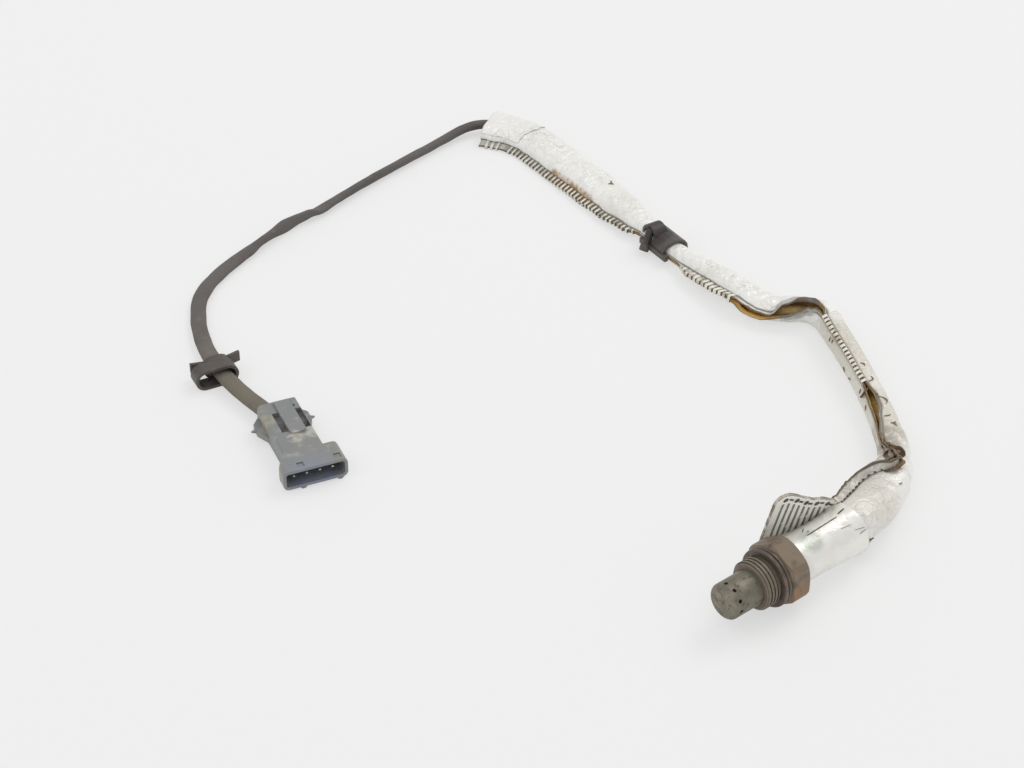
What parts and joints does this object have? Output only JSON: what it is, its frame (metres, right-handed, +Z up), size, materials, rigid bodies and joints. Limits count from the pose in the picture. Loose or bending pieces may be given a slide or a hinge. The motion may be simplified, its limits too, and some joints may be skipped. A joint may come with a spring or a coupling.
{
  "type": "oxygen sensor",
  "caption": "Exhaust oxygen sensor with a threaded hexagon body, perforated protection tube, foil-covered lead with clips and a flat plug connector.",
  "frame": {"origin": "on the thread axis at the front face of the sealing gasket, the plane that seats on the exhaust boss", "axes": "+X along the thread axis towards the sensing tip, +Z up, the part lying on its side as it rests on a flat surface"},
  "size_m": [0.2407, 0.3287, 0.0376],
  "materials": {
    "hexagon_steel": "heat-browned steel with a rust patch",
    "tube_steel": "matt, sooty, heat-darkened",
    "gasket_steel": "dull grey-brown",
    "inner_steel": "clean drawn steel",
    "ceramic": "fired ceramic",
    "heater_ceramic": "fired ceramic",
    "talc": "pressed powder",
    "seal_metal": "soft metal washer",
    "contact_metal": "bright strip",
    "grommet_rubber": "matt",
    "wire_cover": "satin",
    "foil": "creased foil label with plain dark stripes",
    "foil_cloth": "foil-faced cloth, ochre inside, edges stitched in dark thread",
    "lead_sleeve": "matt soft sleeve, dusty",
    "clip_plastic": "aged black plastic",
    "connector_plastic": "aged grey plastic",
    "retainer_plastic": "matt",
    "lock_plastic": "dark blue-grey",
    "terminal_metal": "tinned brass"
  },
  "bodies": {
    "root": {"hex_body": "hexagon_steel", "sealing_gasket": "gasket_steel", "outer_protection_tube": "tube_steel", "inner_protection_tube": "tube_steel", "sensing_thimble": "ceramic", "heater_rod": "heater_ceramic", "thimble_seal_ring": "seal_metal", "powder_packing": "talc", "support_bush": "ceramic", "packing_ring": "inner_steel", "inner_contact": "contact_metal", "outer_contact": "contact_metal", "ceramic_insulator": "ceramic", "rear_shell": "inner_steel", "wire_grommet": "grommet_rubber", "sensor_wires": "wire_cover", "foil_wrap": "foil", "lead": "lead_sleeve", "heat_sleeve": "foil_cloth", "sleeve_clip": "clip_plastic", "winged_clip": "clip_plastic", "connector_housing": "connector_plastic", "rear_retainer": "retainer_plastic", "terminal_lock": "lock_plastic", "connector_terminals": "terminal_metal"}
  },
  "joints": []
}
